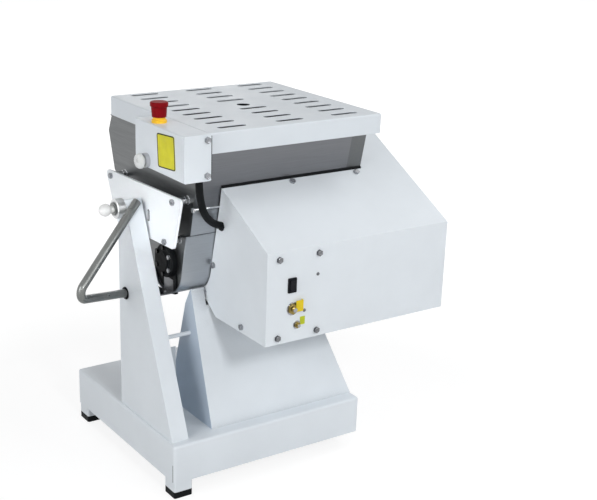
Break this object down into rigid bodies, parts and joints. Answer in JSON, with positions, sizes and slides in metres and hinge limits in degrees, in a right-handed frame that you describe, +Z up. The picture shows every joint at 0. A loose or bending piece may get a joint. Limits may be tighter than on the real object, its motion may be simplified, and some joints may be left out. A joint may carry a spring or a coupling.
{
  "type": "tilting dough mixer",
  "caption": "Floor-standing tilting dough mixer with a steel trough and agitator, slotted lid, control box and belt drive under a white hood, on a wide base.",
  "frame": {"origin": "on the floor, under the middle of the machine's bounding box", "axes": "+Z up, +X along the agitator shaft towards the belt side, +Y to the rear, the way the bowl tips"},
  "size_m": [0.8286, 0.6474, 0.8995],
  "materials": {
    "white_paint": "satin",
    "stainless": "brushed",
    "bright_steel": "polished",
    "plated_steel": "satin",
    "black_iron": "satin",
    "motor_alloy": "cast",
    "bronze": "machined",
    "brass": "polished",
    "black_rubber": "matt",
    "black_plastic": "matt",
    "red_plastic": "gloss",
    "yellow_plastic": "gloss",
    "white_plastic": "gloss",
    "grey_plastic": "satin"
  },
  "bodies": {
    "stand": {"base_pan": "white_paint", "legs": "white_paint", "rubber_feet": "black_rubber", "left_upright": "white_paint", "grab_handle": "bright_steel", "pivot_hub": "white_paint", "pivot_bushes": "bronze", "right_upright": "white_paint", "pedestal": "white_paint", "cross_rod": "white_paint", "cross_panel": "white_paint"},
    "bowl": {"bowl_wrap": "stainless", "left_end_plate": "stainless", "right_end_plate": "stainless", "rim_frame": "stainless", "drain_plug": "stainless", "trunnion_plate": "white_paint", "plate_spacers": "plated_steel", "plate_bolts": "plated_steel", "left_journal": "plated_steel", "right_journal": "plated_steel", "left_bearing": "black_iron", "right_bearing": "black_iron", "bearing_bolts": "plated_steel", "shaft_seals": "black_rubber", "hinge_ears": "bright_steel", "hinge_pins": "bright_steel", "control_box": "white_paint", "box_front_cover": "white_paint", "box_spacers": "plated_steel", "box_tag": "yellow_plastic", "stop_ring": "yellow_plastic", "start_ring": "grey_plastic", "contact_blocks": "black_plastic", "conduit": "black_rubber", "conduit_glands": "black_plastic", "drive_cover": "white_paint", "cover_screws": "plated_steel", "control_plate": "plated_steel", "panel_bolts": "plated_steel", "rocker_housing": "black_plastic", "brass_studs": "brass", "stud_tags": "yellow_plastic", "drive_plate": "plated_steel", "drive_tray": "plated_steel", "gearmotor": "motor_alloy", "drive_belt": "black_rubber"},
    "agitator": {"agitator_shaft": "stainless", "agitator_arms": "stainless", "driven_pulley": "black_iron"},
    "motor_output": {"output_shaft": "plated_steel", "motor_pulley": "black_iron"},
    "lid": {"lid": "white_paint", "lid_lugs": "white_paint"},
    "stop_button": {"stop_button": "red_plastic"},
    "start_button": {"start_button": "white_plastic"},
    "rocker": {"rocker": "black_plastic"},
    "clamp_knob": {"clamp_stud": "bright_steel", "ball_knob": "white_plastic"}
  },
  "joints": [
    {"name": "bowl_tilt", "type": "hinge", "parent": "stand", "child": "bowl", "pos_m": [0.04829, 0.06675, 0.636], "axis": [-1, 0, 0], "range_deg": [0, 90]},
    {"name": "agitator_spin", "type": "hinge", "parent": "bowl", "child": "agitator", "pos_m": [0.04829, 0.00375, 0.514], "axis": [1, 0, 0], "continuous": true},
    {"name": "motor_spin", "type": "hinge", "parent": "bowl", "child": "motor_output", "pos_m": [0.31029, -0.21325, 0.5], "axis": [1, 0, 0], "continuous": true},
    {"name": "lid_hinge", "type": "hinge", "parent": "bowl", "child": "lid", "pos_m": [0.04829, 0.28775, 0.826], "axis": [-1, 0, 0], "range_deg": [0, 100]},
    {"name": "stop_press", "type": "slide", "parent": "bowl", "child": "stop_button", "axis": [0, 0, -1], "range_m": [0, 0.005], "stiffness_N_per_m": 1500, "springref_m": -0.003},
    {"name": "start_press", "type": "slide", "parent": "bowl", "child": "start_button", "axis": [1, 0, 0], "range_m": [0, 0.005], "stiffness_N_per_m": 1000, "springref_m": -0.003},
    {"name": "rocker_tip", "type": "hinge", "parent": "bowl", "child": "rocker", "pos_m": [-0.02871, -0.31125, 0.526], "axis": [1, 0, 0], "range_deg": [-9, 9]},
    {"name": "knob_turn", "type": "hinge", "parent": "bowl", "child": "clamp_knob", "pos_m": [-0.27171, 0.06675, 0.636], "axis": [1, 0, 0], "range_deg": [0, 180]}
  ],
  "couplings": [
    {"joint": "motor_spin", "follows": "agitator_spin", "ratio": 2.6}
  ]
}
